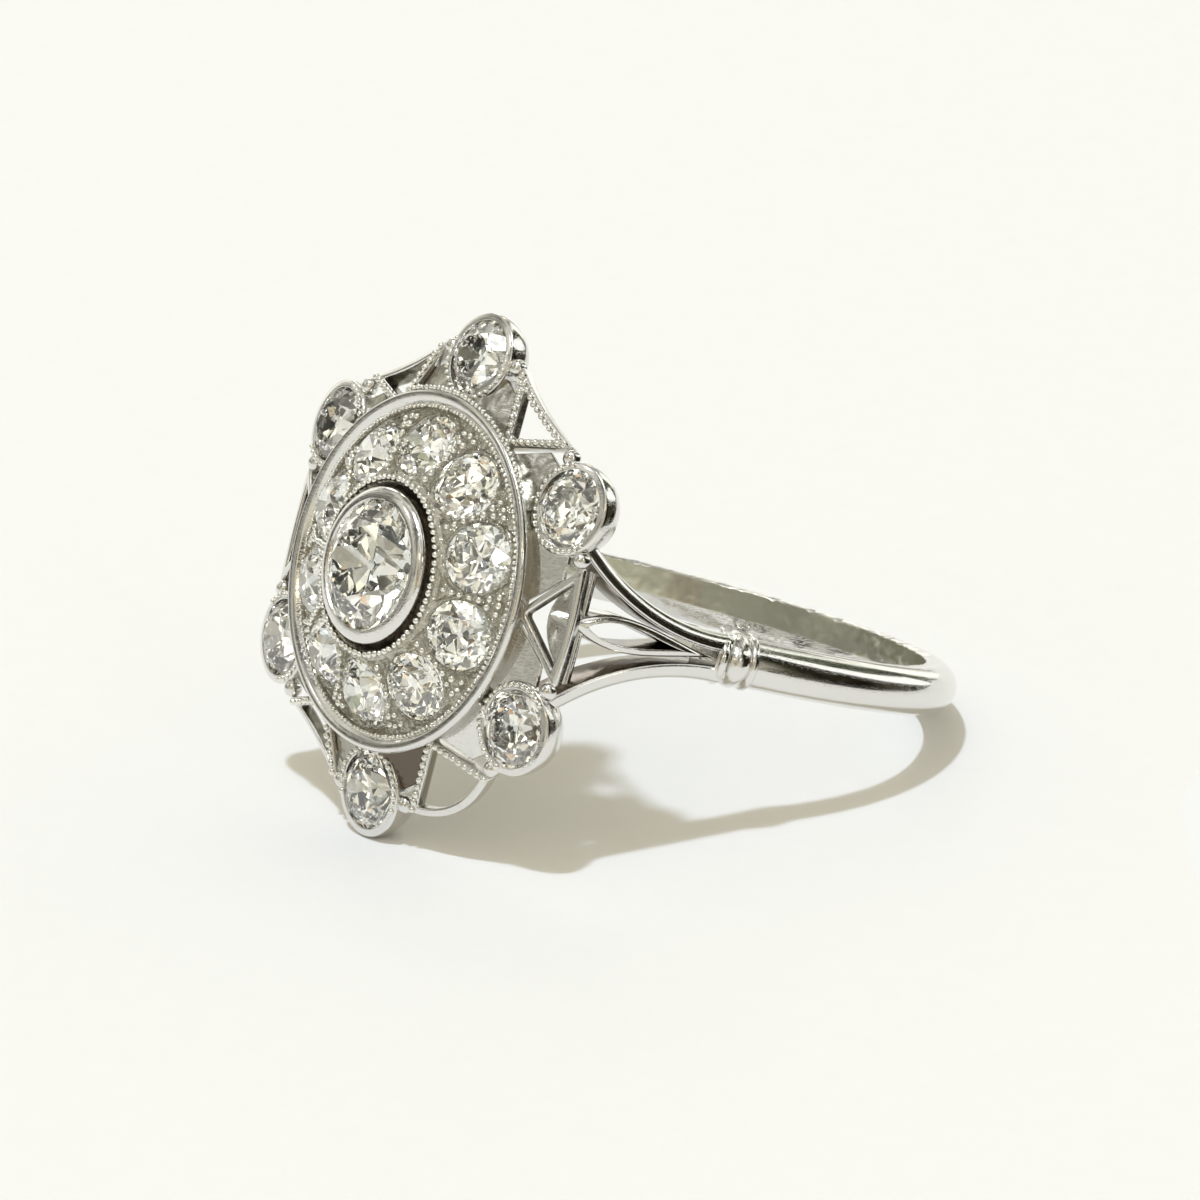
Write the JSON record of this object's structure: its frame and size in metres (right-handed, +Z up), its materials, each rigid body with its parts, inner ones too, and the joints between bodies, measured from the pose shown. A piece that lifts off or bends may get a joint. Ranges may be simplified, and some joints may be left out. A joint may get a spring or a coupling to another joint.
{
  "type": "cluster ring",
  "caption": "Finger ring: a raised paved disc with a bezel-set centre stone inside a frame of collet-set stones, on a split-shouldered shank.",
  "frame": {"origin": "bottom centre of the box round the ring as it lies at rest", "axes": "+Z up from the surface it rests on, +X across the finger, -Y the way the head faces; the finger's axis leans back from +Z towards +Y by about 22 degrees"},
  "size_m": [0.0196, 0.022, 0.0161],
  "materials": {
    "metal": "polished platinum, with fine beaded edges",
    "diamond": "clear, old cut, polished facets"
  },
  "bodies": {
    "root": {"mount": "metal", "centre_stone": "diamond", "collet_stone_1": "diamond", "collet_stone_2": "diamond", "collet_stone_3": "diamond", "collet_stone_4": "diamond", "collet_stone_5": "diamond", "collet_stone_6": "diamond", "pave_stone_1": "diamond", "pave_stone_2": "diamond", "pave_stone_3": "diamond", "pave_stone_4": "diamond", "pave_stone_5": "diamond", "pave_stone_6": "diamond", "pave_stone_7": "diamond", "pave_stone_8": "diamond", "pave_stone_9": "diamond", "pave_stone_10": "diamond"}
  },
  "joints": []
}
